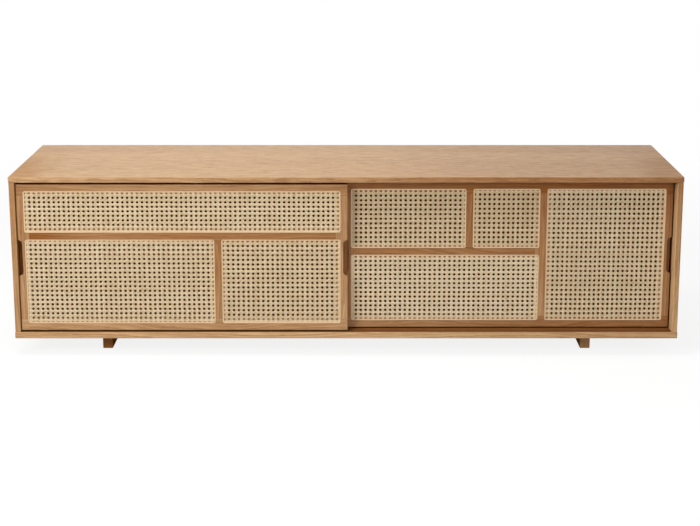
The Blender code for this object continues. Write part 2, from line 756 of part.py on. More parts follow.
right_door.cane("wide_cane", cane_left, small_right, cane_bottom, rail_bottom)
right_door.cane("tall_cane", tall_left, cane_right, cane_bottom, cane_top)
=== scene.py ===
import math

import bpy
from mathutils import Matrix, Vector


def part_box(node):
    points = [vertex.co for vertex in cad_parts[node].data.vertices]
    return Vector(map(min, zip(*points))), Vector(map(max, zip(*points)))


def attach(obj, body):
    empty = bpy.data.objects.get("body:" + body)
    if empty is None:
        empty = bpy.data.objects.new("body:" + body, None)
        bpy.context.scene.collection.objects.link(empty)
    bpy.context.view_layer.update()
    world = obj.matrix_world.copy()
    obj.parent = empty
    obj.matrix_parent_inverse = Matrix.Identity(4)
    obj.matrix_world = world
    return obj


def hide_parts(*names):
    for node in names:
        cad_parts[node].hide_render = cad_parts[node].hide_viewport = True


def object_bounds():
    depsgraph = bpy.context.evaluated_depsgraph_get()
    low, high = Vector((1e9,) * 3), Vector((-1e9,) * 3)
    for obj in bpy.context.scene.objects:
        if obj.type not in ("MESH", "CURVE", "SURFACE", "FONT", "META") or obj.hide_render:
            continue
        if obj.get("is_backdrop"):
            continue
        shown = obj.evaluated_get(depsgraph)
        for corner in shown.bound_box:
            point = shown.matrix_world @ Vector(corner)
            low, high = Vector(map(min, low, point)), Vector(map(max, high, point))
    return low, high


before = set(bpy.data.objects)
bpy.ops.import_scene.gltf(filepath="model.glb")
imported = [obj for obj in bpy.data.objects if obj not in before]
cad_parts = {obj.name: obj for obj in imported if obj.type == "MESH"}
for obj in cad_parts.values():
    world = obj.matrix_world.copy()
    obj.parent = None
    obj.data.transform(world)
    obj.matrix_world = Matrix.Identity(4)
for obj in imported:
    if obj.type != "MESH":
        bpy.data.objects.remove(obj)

cad_low, cad_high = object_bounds()


# Carcass: a top, two sides and a centre divider of 14 mm oak boards, and a base of 16 mm.
# The boards are glued up from staves, sanded and oiled matt, with their arrises eased.
# Top and base run over the sides, and their grain runs along the cabinet.
def add(tree, kind, plugs=None, **settings):
    """Puts a node in a tree with its settings, its inputs filled with values or other nodes' outputs."""
    made = tree.nodes.new(kind)
    for name, value in settings.items():
        setattr(made, name, value)
    for name, value in (plugs or {}).items():
        if isinstance(value, bpy.types.NodeSocket):
            tree.links.new(value, made.inputs[name])
        else:
            made.inputs[name].default_value = value
    return made


def calc(tree, operation, *values):
    """One sum on numbers or sockets."""
    return add(tree, "ShaderNodeMath", dict(enumerate(values)), operation=operation).outputs[0]


def calc_vector(tree, operation, *values):
    """One sum on vectors."""
    return add(tree, "ShaderNodeVectorMath", dict(enumerate(values)), operation=operation).outputs[0]


def split(tree, vector):
    """The three numbers of a vector, in order and by the names X, Y and Z."""
    return add(tree, "ShaderNodeSeparateXYZ", {0: vector}).outputs


def own_point(tree):
    """Where a point lies on the piece itself, whatever its pose."""
    return add(tree, "ShaderNodeTexCoord").outputs["Object"]


def noise(tree, point, scale, detail=2.0, roughness=0.5):
    """Noise from 0 to 1, stretched by a scale for each axis in features per metre."""
    stretched = calc_vector(tree, "MULTIPLY", point, scale)
    plugs = {"Vector": stretched, "Scale": 1.0, "Detail": detail, "Roughness": roughness}
    return add(tree, "ShaderNodeTexNoise", plugs).outputs[0]


def fade(tree, value, low, high, to_low=0.0, to_high=1.0):
    """The value moved smoothly from one range to another."""
    plugs = {0: value, 1: low, 2: high, 3: to_low, 4: to_high}
    return add(tree, "ShaderNodeMapRange", plugs, interpolation_type="SMOOTHSTEP").outputs[0]


def blend(tree, share, first, second, **settings):
    """Two colours mixed by a share."""
    plugs = {0: share, 6: first, 7: second}
    return add(tree, "ShaderNodeMix", plugs, data_type="RGBA", **settings).outputs[2]


def swapped(tree, where, value, other):
    """A number that gives way to another one where a mask is 1."""
    return calc(tree, "MULTIPLY_ADD", calc(tree, "SUBTRACT", other, value), where, value)


def srgb(red, green, blue):
    """A colour given as it looks on a screen, from 0 to 255, as the shader wants it."""
    def linear(level):
        share = level / 255
        return share / 12.92 if share <= 0.04045 else ((share + 0.055) / 1.055) ** 2.4
    return (linear(red), linear(green), linear(blue), 1.0)


def new_material(name):
    """An empty material with its Principled shader."""
    material = bpy.data.materials.new(name)
    material.use_nodes = True
    return material, material.node_tree, material.node_tree.nodes["Principled BSDF"]


def dress(tree, shader, color, roughness, height, relief):
    """Gives a shader its colour, its roughness and a relief of a strength and a depth."""
    strength, depth = relief
    bump = add(tree, "ShaderNodeBump", {"Height": height, "Strength": strength, "Distance": depth})
    tree.links.new(color, shader.inputs["Base Color"])
    tree.links.new(roughness, shader.inputs["Roughness"])
    tree.links.new(bump.outputs[0], shader.inputs["Normal"])


def paint(material, *nodes):
    """Gives a material to CAD nodes."""
    for name in nodes:
        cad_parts[name].material_slots[0].material = material


WHITE = (1.0, 1.0, 1.0, 1.0)
OAK_PALE = srgb(205, 166, 122)
OAK_MID = srgb(172, 130, 89)
OAK_DARK = srgb(147, 102, 64)
OAK_PORE = srgb(100, 66, 39)
OAK_HEARTWOOD_AND_SHADE = (0.63, 0.48, 0.34, 1.0)
OAK_PAINTED_END_SHADE = (0.75, 0.58, 0.22, 1.0)
RING_SPACING = 0.0085
RING_LEAN_BACK = 0.85
RING_LEAN_UP = 0.55
RING_SWAY = 0.060
RING_WAVER = 0.0035
SWAY_SCALE = (1.5, 8, 8)
WAVER_SCALE = (7, 60, 60)
EARLY_WOOD = (0.0, 0.12, 0.14, 0.5)
LATE_WOOD = (0.35, 0.92, 0.94, 1.0)
FIBRE_SCALE = (20, 400, 400)
PATCH_SCALE = (1.1, 9, 9)
PORE_SCALE = (55, 1500, 1500)
FINE_DETAIL = (3.0, 0.65)
STREAK_SHARE = 0.30
PATCH_SHARE = 0.40
EARLY_SHARE = 0.40
LATE_SHARE = 0.38
PORE_SHARE = 0.60
ARRIS_WEAR = 0.0012
ARRIS_WEAR_SCALE = (30, 60, 60)
OAK_ROUGHNESS = 0.36
STREAK_ROUGHNESS = 0.10
PORE_ROUGHNESS = 0.25
FIBRE_HEIGHT = 0.5
OAK_RELIEF = (0.35, 0.0003)


def oak_figure():
    """Oak as a solid: growth rings, fibres, flecks and pores along X.

    Tone runs from pale wood to dark heartwood and also carries painted light and shade, the end darkening is
    painted shade towards a board's ends, and Arris is the distance to an arris.
    """
    tree = bpy.data.node_groups.new("oak_figure", "ShaderNodeTree")
    for name in ("Point", "Fleck Scale"):
        tree.interface.new_socket(name, in_out="INPUT", socket_type="NodeSocketVector")
    for name in ("Arris", "Tone", "End Shade", "Fleck"):
        tree.interface.new_socket(name, in_out="INPUT", socket_type="NodeSocketFloat")
    tree.interface.new_socket("Color", in_out="OUTPUT", socket_type="NodeSocketColor")
    for name in ("Roughness", "Height"):
        tree.interface.new_socket(name, in_out="OUTPUT", socket_type="NodeSocketFloat")
    given = add(tree, "NodeGroupInput").outputs
    point = given["Point"]
    spot = split(tree, point)
    sway = calc(tree, "SUBTRACT", noise(tree, point, SWAY_SCALE), 0.5)
    waver = calc(tree, "SUBTRACT", noise(tree, point, WAVER_SCALE), 0.5)
    slant = calc(tree, "MULTIPLY", spot["Y"], RING_LEAN_BACK)
    slant = calc(tree, "MULTIPLY_ADD", spot["Z"], RING_LEAN_UP, slant)
    swayed = calc(tree, "MULTIPLY_ADD", sway, RING_SWAY, slant)
    wavered = calc(tree, "MULTIPLY_ADD", waver, RING_WAVER, swayed)
    year = calc(tree, "FRACT", calc(tree, "DIVIDE", wavered, RING_SPACING))

    def season(start, full, waning, end):
        return calc(tree, "MULTIPLY", fade(tree, year, start, full), fade(tree, year, end, waning))

    early = season(*EARLY_WOOD)
    late = season(*LATE_WOOD)
    fibre = noise(tree, point, FIBRE_SCALE, *FINE_DETAIL)
    streak = fade(tree, fibre, 0.32, 0.70)
    patch = noise(tree, point, PATCH_SCALE)
    fleck = fade(tree, noise(tree, point, given["Fleck Scale"], *FINE_DETAIL), 0.35, 0.65, -0.5, 0.5)
    dash = noise(tree, point, PORE_SCALE, 1.0)
    pore = calc(tree, "MULTIPLY", fade(tree, dash, 0.60, 0.70), fade(tree, early, 0.0, 0.8, 0.25, 1.0))
    shade = calc(tree, "MULTIPLY_ADD", streak, STREAK_SHARE, calc(tree, "MULTIPLY", patch, PATCH_SHARE))
    shade = calc(tree, "MULTIPLY_ADD", early, EARLY_SHARE, shade)
    shade = calc(tree, "MULTIPLY_ADD", fleck, given["Fleck"], shade)
    color = blend(tree, fade(tree, shade, 0.10, 0.90), OAK_PALE, OAK_MID)
    color = blend(tree, calc(tree, "MULTIPLY", late, LATE_SHARE), color, OAK_DARK)
    color = blend(tree, calc(tree, "MULTIPLY", pore, PORE_SHARE), color, OAK_PORE)
    # Tone darkens towards heartwood and also holds painted light and shade; the second darkening is painted
    # shade towards a board's ends.
    for amount, tint in ((given["Tone"], OAK_HEARTWOOD_AND_SHADE), (given["End Shade"], OAK_PAINTED_END_SHADE)):
        tone_and_shade = blend(tree, amount, WHITE, tint, clamp_factor=False)
        color = blend(tree, 1.0, color, tone_and_shade, blend_type="MULTIPLY")
    edge = fade(tree, given["Arris"], ARRIS_WEAR, 0.0)
    wear = fade(tree, noise(tree, point, ARRIS_WEAR_SCALE), 0.35, 0.65, 0.05, 0.30)
    color = blend(tree, calc(tree, "MULTIPLY", edge, wear), color, OAK_PALE)
    rough = calc(tree, "MULTIPLY_ADD", streak, STREAK_ROUGHNESS, OAK_ROUGHNESS)
    rough = calc(tree, "MULTIPLY_ADD", pore, PORE_ROUGHNESS, rough)
    height = calc(tree, "SUBTRACT", calc(tree, "MULTIPLY", fibre, FIBRE_HEIGHT), pore)
    add(tree, "NodeGroupOutput", {"Color": color, "Roughness": rough, "Height": height})
    return tree


oak = oak_figure()
OAK_BARE = 0.0
OAK_OILED = 0.15
OAK_SATIN = 0.20
LONG_FLECKS = (0.20, (14, 56, 56))
SHORT_FLECKS = (0.50, (22, 120, 120))
GRAIN_TURN = {
    "X": (0.0, 0.0, 0.0),
    "Y": (0.0, 0.0, -math.pi / 2),
    "Z": (0.0, math.pi / 2, 0.0),
}
BOARD_STEP = Vector((1.37, 0.43, 0.31))
STAVE_WIDTH = 0.1126
STAVE_STEP = (0.73, 0.0, 0.17)
STAVE_TURN = 2.4
STAVE_TONE = 0.08
# Painted shade towards a board's ends, where its sheen fades: its reach, its share at the front and the back,
# and its most.
END_SHADE_REACH = 0.130
END_SHADE_FRONT = 1.5
END_SHADE_BACK = 0.1
END_SHADE_MOST = 0.9
boards_cut = []


def depth_in_box(tree, point, low, high):
    """How deep a point lies in a box along each axis, below 0 outside it."""
    middle = (Vector(low) + Vector(high)) / 2
    half = (Vector(high) - Vector(low)) / 2
    offset = calc_vector(tree, "ABSOLUTE", calc_vector(tree, "SUBTRACT", point, middle))
    return split(tree, calc_vector(tree, "SUBTRACT", half, offset))


def arris_distance(tree, point, low, high):
    """How far a point of a board's skin lies from the nearest arris of the board's box."""
    x, y, z = depth_in_box(tree, point, low, high)
    least = calc(tree, "MINIMUM", x, y)
    most = calc(tree, "MAXIMUM", x, y)
    return calc(tree, "MAXIMUM", least, calc(tree, "MINIMUM", most, z))


def graded(tree, value, low, high, stops):
    """A number that runs smoothly through evenly spaced stops as a value goes from low to high."""
    step = (high - low) / (len(stops) - 1)
    level = stops[0]
    for number, (first, second) in enumerate(zip(stops, stops[1:])):
        start = low + number * step
        level = calc(tree, "ADD", level, fade(tree, value, start, start + step, 0.0, second - first))
    return level


def oak_board(node, grain, tones, gloss=OAK_OILED, front_edge=None, zones=(), end_shade=None, flecks=LONG_FLECKS):
    """Oak for one board: its grain along an axis, and its tones from end to end, higher ones darker, partly
    the wood's own and partly painted light and shade.

    A wide board is glued up from staves. The front edge is a strip along the front with tones of its own:
    thickness, then tones.
    A zone is a box of painted light or shade with a tone of its own: two corners, then the tone.
    The end darkening is painted shade where the sheen fades towards the ends: by its first end, by its last
    end and all over, deepest along the front.
    Flecks are the strokes of the figure: their strength, then their scale.
    """
    material, tree, shader = new_material("oak_" + node)
    boards_cut.append(node)
    low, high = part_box(node)
    point = own_point(tree)
    spot = split(tree, point)
    ends = {"X": (low.x, high.x), "Y": (low.y, high.y), "Z": (low.z, high.z)}[grain]
    across = (spot["X"], low.x) if grain == "Y" else (spot["Y"], low.y)
    stave = calc(tree, "FLOOR", calc(tree, "DIVIDE", calc(tree, "SUBTRACT", *across), STAVE_WIDTH))
    plugs = {"Vector": point, "Rotation": GRAIN_TURN[grain], "Location": BOARD_STEP * len(boards_cut)}
    turned = add(tree, "ShaderNodeMapping", plugs).outputs[0]
    wood = add(tree, "ShaderNodeGroup", node_tree=oak)
    tree.links.new(calc_vector(tree, "MULTIPLY_ADD", stave, STAVE_STEP, turned), wood.inputs["Point"])
    tree.links.new(arris_distance(tree, point, low, high), wood.inputs["Arris"])
    wood.inputs["Fleck"].default_value, wood.inputs["Fleck Scale"].default_value = flecks
    stave_tone = calc(tree, "SINE", calc(tree, "MULTIPLY", stave, STAVE_TURN))
    tone = calc(tree, "MULTIPLY_ADD", stave_tone, STAVE_TONE, graded(tree, spot[grain], *ends, tones))
    strip = 0.0
    if front_edge:
        thickness, *strip_tones = front_edge
        strip = calc(tree, "LESS_THAN", spot["Y"], low.y + thickness)
        tone = swapped(tree, strip, tone, graded(tree, spot[grain], *ends, strip_tones))
    for corner, far_corner, zone_tone in zones:
        x, y, z = depth_in_box(tree, point, corner, far_corner)
        within = calc(tree, "GREATER_THAN", calc(tree, "MINIMUM", calc(tree, "MINIMUM", x, y), z), 0.0)
        tone = swapped(tree, within, tone, zone_tone)
    tree.links.new(tone, wood.inputs["Tone"])
    if end_shade:
        first_end, last_end, end_shading = end_shade
        for end, inwards, amount in ((ends[0], END_SHADE_REACH, first_end), (ends[1], -END_SHADE_REACH, last_end)):
            end_shading = calc(tree, "ADD", end_shading, fade(tree, spot[grain], end, end + inwards, amount, 0.0))
        end_shading = calc(tree, "MULTIPLY", end_shading, fade(tree, spot["Y"], low.y, high.y, END_SHADE_FRONT, END_SHADE_BACK))
        end_shading = swapped(tree, strip, calc(tree, "MINIMUM", end_shading, END_SHADE_MOST), 0.0)
        tree.links.new(end_shading, wood.inputs["End Shade"])
    dress(tree, shader, wood.outputs["Color"], wood.outputs["Roughness"], wood.outputs["Height"], OAK_RELIEF)
    shader.inputs["Specular IOR Level"].default_value = gloss
    paint(material, node)


FACE_SKIN = 0.001


def face_zone(x, front, back, low, high, tone):
    """The zone on a board's upright face at x, between two depths."""
    return (x - FACE_SKIN, front, low.z), (x + FACE_SKIN, back, high.z), tone


# The base's tones, and those of its front edge, are partly the wood's own and partly painted light and shade.
# Its upper face behind the front edge is darkened as painted shade under the doors and inside the cabinet.
BASE_TONES = (0.30, 0.20, 0.40)
BASE_STRIP = 0.003
BASE_STRIP_TONES = (-0.03, -0.13, -0.46, -0.11, 0.02)
BASE_INSIDE_SHADE_TONE = 1.25
low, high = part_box("base_panel")
painted_inside_shade = ((low.x, low.y + BASE_STRIP, high.z - FACE_SKIN), (high.x, high.y, high.z + FACE_SKIN),
               BASE_INSIDE_SHADE_TONE)
oak_board("base_panel", "X", BASE_TONES, OAK_BARE, (BASE_STRIP, *BASE_STRIP_TONES), (painted_inside_shade,))

# The top's tones darken to the right as painted shade, its front edge most of all.
TOP_TONES = (-0.15, -0.24, -0.23, 0.09, 0.22)
TOP_STRIP = 0.0012
TOP_STRIP_TONES = (0.06, 0.32, 0.56, 1.02, 0.99)
TOP_END_SHADE = (0.70, 0.95, 0.08)
oak_board("top_panel", "X", TOP_TONES, OAK_SATIN, (TOP_STRIP, *TOP_STRIP_TONES), (), TOP_END_SHADE, SHORT_FLECKS)

# The sides' tones are partly the wood's own and partly painted light and shade. Their inner faces are
# darkened as painted shade inside the cabinet.
LEFT_SIDE_TONES = (0.20, 0.29, 0.35, 0.60, 0.33)
RIGHT_SIDE_TONES = (-0.48, 0.28, 0.72)
SIDE_INSIDE_START = 0.004
SIDE_INSIDE_SHADE_TONE = 1.0
# The front of the right side's inner face is lightened as painted light in the gap beside the door.
SIDE_FRONT_REACH = 0.040
SIDE_FRONT_LIGHT_TONE = -0.6
low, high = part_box("left_side_panel")
painted_inner_shade = face_zone(high.x, low.y + SIDE_INSIDE_START, high.y, low, high, SIDE_INSIDE_SHADE_TONE)
oak_board("left_side_panel", "Z", LEFT_SIDE_TONES, OAK_BARE, None, (painted_inner_shade,))
low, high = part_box("right_side_panel")
painted_inner_shade = face_zone(low.x, low.y + SIDE_INSIDE_START, high.y, low, high, SIDE_INSIDE_SHADE_TONE)
painted_front_light = face_zone(low.x, low.y - FACE_SKIN, low.y + SIDE_FRONT_REACH, low, high, SIDE_FRONT_LIGHT_TONE)
oak_board("right_side_panel", "Z", RIGHT_SIDE_TONES, OAK_BARE, None, (painted_inner_shade, painted_front_light))

# The divider and the shelves are darkened as painted shade inside the cabinet.
INSIDE_SHADE_TONES = (1.1, 1.1)
oak_board("centre_divider", "Z", INSIDE_SHADE_TONES, OAK_BARE)


# Tracks: two extruded channels of brown plastic, the front one with a broad lip.
# They are let into the base along its front, and the glides of the doors run in them.
TRACK_BROWN = srgb(121, 80, 48)
TRACK_RUBBED = srgb(149, 105, 69)
DRAW_LINE_SCALE = (1.5, 2400, 2400)
TRACK_RUB_SCALE = (14, 500, 500)
TRACK_ROUGHNESS = (0.44, 0.60)
TRACK_RELIEF = (0.2, 0.0001)
TRACK_GLOSS = 0.1


def extruded_plastic():
    """Matt brown plastic with draw lines along it, rubbed paler by the glides."""
    material, tree, shader = new_material("extruded_plastic")
    point = own_point(tree)
    draw_line = noise(tree, point, DRAW_LINE_SCALE, 1.0)
    rub = noise(tree, point, TRACK_RUB_SCALE, 3.0)
    rubbed = calc(tree, "MULTIPLY", fade(tree, rub, 0.45, 0.75), fade(tree, draw_line, 0.3, 0.7, 0.3, 1.0))
    color = blend(tree, rubbed, TRACK_BROWN, TRACK_RUBBED)
    dress(tree, shader, color, fade(tree, draw_line, 0.25, 0.75, *TRACK_ROUGHNESS), draw_line, TRACK_RELIEF)
    shader.inputs["Specular IOR Level"].default_value = TRACK_GLOSS
    return material


paint(extruded_plastic(), "front_base_track", "rear_base_track")


# Back panel: 5 mm plywood, dark as painted shade for the inside seen through the cane, let into grooves in
# the carcass boards.
# Two round outlets for cables are sawn through it and show its layers.
# The face colour is painted shade: the plywood is made dark so that the inside seen through the cane looks
# shaded.
PLY_SHADED_FACE = srgb(116, 79, 47)
PLY_CORE = srgb(92, 61, 36)
PLY_LAYER = 0.00125
PLY_FIBRE_SCALE = (5, 5, 330)
PLY_BAND_SCALE = (1.5, 1.5, 26)
PLY_BAND_SHARE = 0.6
PLY_FIBRE_SHARE = 0.4
PLY_FIGURE = 0.45
PLY_CORE_SHARE = 0.7
PLY_ROUGHNESS = (0.5, 0.66)
PLY_RELIEF = (0.25, 0.0003)
PLY_GLOSS = 0.0


def plywood(node):
    """Straight-grained veneer on the faces, and layers that show on sawn edges."""
    material, tree, shader = new_material("plywood_" + node)
    low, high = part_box(node)
    point = own_point(tree)
    fibre = noise(tree, point, PLY_FIBRE_SCALE, 3.0, 0.6)
    band = noise(tree, point, PLY_BAND_SCALE)
    figure = calc(tree, "MULTIPLY_ADD", band, PLY_BAND_SHARE, calc(tree, "MULTIPLY", fibre, PLY_FIBRE_SHARE))
    figure = calc(tree, "MULTIPLY", fade(tree, figure, 0.3, 0.7), PLY_FIGURE)
    depth = calc(tree, "SUBTRACT", split(tree, point)["Y"], low.y)
    layer = calc(tree, "PINGPONG", calc(tree, "DIVIDE", depth, PLY_LAYER), 1.0)
    core = calc(tree, "MULTIPLY", fade(tree, layer, 0.35, 0.65), PLY_CORE_SHARE)
    color = blend(tree, core, blend(tree, figure, PLY_SHADED_FACE, PLY_CORE), PLY_CORE)
    dress(tree, shader, color, fade(tree, fibre, 0.2, 0.8, *PLY_ROUGHNESS), fibre, PLY_RELIEF)
    shader.inputs["Specular IOR Level"].default_value = PLY_GLOSS
    paint(material, node)


plywood("back_panel")


# Feet: two oak planks on edge that run front to back under the base.
# Each is held by two screws from inside the cabinet, and stands on two felt pads.
# The tones, partly the wood's own and partly painted shade under the cabinet, are a foot's and that of its
# inner face.
FOOT_TONES = {"left": (1.12, 1.52), "right": (0.40, 0.40)}
for side, (tone, inner_shade_tone) in FOOT_TONES.items():
    low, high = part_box(side + "_runner_foot")
    inner = high.x if side == "left" else low.x
    inner_face = face_zone(inner, low.y, high.y, low, high, inner_shade_tone)
    oak_board(side + "_runner_foot", "Y", (tone, tone), OAK_BARE, None, (inner_face,))


# Foot screws: zinc-plated steel with a hexagon socket, driven down through the base into the feet.
# Shelf pins: the same plated steel, turned with a collar and pushed into the sides and the divider.
STEEL_BRIGHT = srgb(196, 197, 199)
STEEL_DULL = srgb(150, 151, 154)
PLATING_SCALE = (260, 260, 260)
TURNING_SCALE = (900, 900, 4000)
STEEL_ROUGHNESS = (0.42, 0.26)
STEEL_RELIEF = (0.2, 0.0001)


def plated_steel():
    """Zinc plating: a cloudy grey metal with fine turning marks."""
    material, tree, shader = new_material("plated_steel")
    point = own_point(tree)
    cloud = noise(tree, point, PLATING_SCALE, 3.0)
    mark = noise(tree, point, TURNING_SCALE, 1.0)
    color = blend(tree, fade(tree, cloud, 0.3, 0.7), STEEL_DULL, STEEL_BRIGHT)
    dress(tree, shader, color, fade(tree, cloud, 0.25, 0.75, *STEEL_ROUGHNESS), mark, STEEL_RELIEF)
    shader.inputs["Metallic"].default_value = 1.0
    return material


steel = plated_steel()
for side in ("left", "right"):
    for end in ("front", "rear"):
        paint(steel, f"{side}_foot_{end}_screw")
        paint(steel, f"{side}_shelf_{end}_side_pin", f"{side}_shelf_{end}_divider_pin")


# Felt pads: round discs of pressed brown felt, two to a foot.
# They are stuck under the feet and keep the floor from scratches.
FELT_BROWN = srgb(98, 80, 66)
FELT_LINT = srgb(136, 118, 100)
FELT_MAT_SCALE = (1800, 1800, 1800)
FELT_CLUMP_SCALE = (380, 380, 380)
FELT_MAT_SHARE = 0.6
FELT_CLUMP_SHARE = 0.4
FELT_ROUGHNESS = (0.86, 0.98)
FELT_RELIEF = (0.8, 0.0006)
FELT_SHEEN = 0.35


def pressed_felt():
    """Matted fibres with paler lint."""
    material, tree, shader = new_material("pressed_felt")
    point = own_point(tree)
    mat = noise(tree, point, FELT_MAT_SCALE, 4.0, 0.7)
    clump = noise(tree, point, FELT_CLUMP_SCALE)
    lint = calc(tree, "MULTIPLY_ADD", mat, FELT_MAT_SHARE, calc(tree, "MULTIPLY", clump, FELT_CLUMP_SHARE))
    color = blend(tree, fade(tree, lint, 0.38, 0.66), FELT_BROWN, FELT_LINT)
    dress(tree, shader, color, fade(tree, mat, 0.2, 0.8, *FELT_ROUGHNESS), lint, FELT_RELIEF)
    shader.inputs["Sheen Weight"].default_value = FELT_SHEEN
    return material


felt = pressed_felt()
for side in ("left", "right"):
    for end in ("front", "rear"):
        paint(felt, f"{side}_foot_{end}_pad")


# Shelves: one loose oak board in each compartment, without oil like the rest of the inside, and darkened as
# painted shade.
# Each rests on four pins, two in the side and two in the divider.
for side in ("left", "right"):
    oak_board(side + "_shelf", "X", INSIDE_SHADE_TONES, OAK_BARE)


# Door frames: oak rails, stiles and mullions joined by stub tenons.
# The rails run the full width of a door, and the uprights stand between them.
# Finger pulls are routed into the outer stiles, and the inner edges are rebated for the cane.
# The tones along each member are partly the wood's own and partly painted light and shade, darker on the
# right door and darkest under the overhang of the top.
RAILS = {
    ("left_door", "top_rail"): (0.74, 0.46, 0.42, 0.40, 0.64),
    ("left_door", "middle_rail"): (1.30, 0.79, 0.98, 0.97, 0.94),
    ("left_door", "bottom_rail"): (0.12, 0.16, 0.23, 0.37, 0.25),
    ("right_door", "top_rail"): (1.21, 1.23, 1.36, 1.42, 1.38),
    ("right_door", "middle_rail"): (1.00, 1.06, 0.92, 0.99, 1.09),
    ("right_door", "bottom_rail"): (0.56, 0.64, 0.89, 1.05, 1.05),
}
MULLIONS = {
    ("left_door", "mullion"): (0.54, 0.58, 0.78, 0.91, 0.88),
    ("right_door", "tall_mullion"): (0.38, 0.82, 1.02),
    ("right_door", "short_mullion"): (0.98, 1.00, 1.13),
}
# A stile's last tone is painted shade in its finger pull.
STILES = {
    ("left_door", "left_stile"): (0.32, 0.37, 0.68, 0.50, 1.36),
    ("left_door", "right_stile"): (0.06, 0.30, 0.41, 1.13),
    ("right_door", "left_stile"): (0.80, 0.90, 1.00),
    ("right_door", "right_stile"): (0.68, 0.76, 0.79, 1.22, 1.00),
}
PULL_FACE = 0.0010
PULL_LOW = 0.210
PULL_HIGH = 0.310
# The upper face of each top rail is darkened as painted shade in the gap under the top.
RAIL_EDGE = 0.0004
RAIL_TOP_SHADE_TONE = 1.7
for (door, member), tones in RAILS.items():
    low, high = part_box(f"{door}_{member}")
    edge = ((low.x, low.y, high.z - RAIL_EDGE), (high.x, high.y, high.z + RAIL_EDGE), RAIL_TOP_SHADE_TONE)
    oak_board(f"{door}_{member}", "X", tones, OAK_OILED, None, (edge,) if member == "top_rail" else ())
for (door, member), tones in MULLIONS.items():
    oak_board(f"{door}_{member}", "Z", tones)
for (door, member), (*tones, pull_shade_tone) in STILES.items():
    low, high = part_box(f"{door}_{member}")
    pull_shade = ((low.x, low.y + PULL_FACE, PULL_LOW), (high.x, high.y, PULL_HIGH), pull_shade_tone)
    oak_board(f"{door}_{member}", "Z", tones, OAK_OILED, None, (pull_shade,))


# Cane: peeled rattan woven six ways into octagonal webbing, stretched over the rebates of the door frames.
# Pairs of upright reeds cross pairs of level reeds, and two sets of slanting reeds lock them.
# A flat edging reed covers the cut ends round each sheet.
REED_WIDTH = 0.0030
REED_THICKNESS = 0.00066
REED_SPREAD = 0.125
REED_CORNERS = 4
WEAVE_RISE = 0.00062
LEVEL_REED_DIP = 1.17
SLANT_WIDTH = 0.0026
SHORTEST_SLANT = 0.2
QUARTER_CELL = 0.25
SLANT_STEP = 0.999 * QUARTER_CELL * math.sqrt(2)
ONE_MORE_ROUNDED = 1.5
EDGING_WIDTH = 0.0035
EDGING_THICKNESS = 0.0020
EDGING_CORNER = 0.0038
EDGING_CORNER_STEPS = 4
EDGING_ROUNDING = 0.0006
EDGING_ROUNDING_STEPS = 2
EDGING_TONE = 2.0
WEAVE_UNEVENNESS = 0.0002
UNEVEN_SCALE = 18.0
CANE_SEED = 7


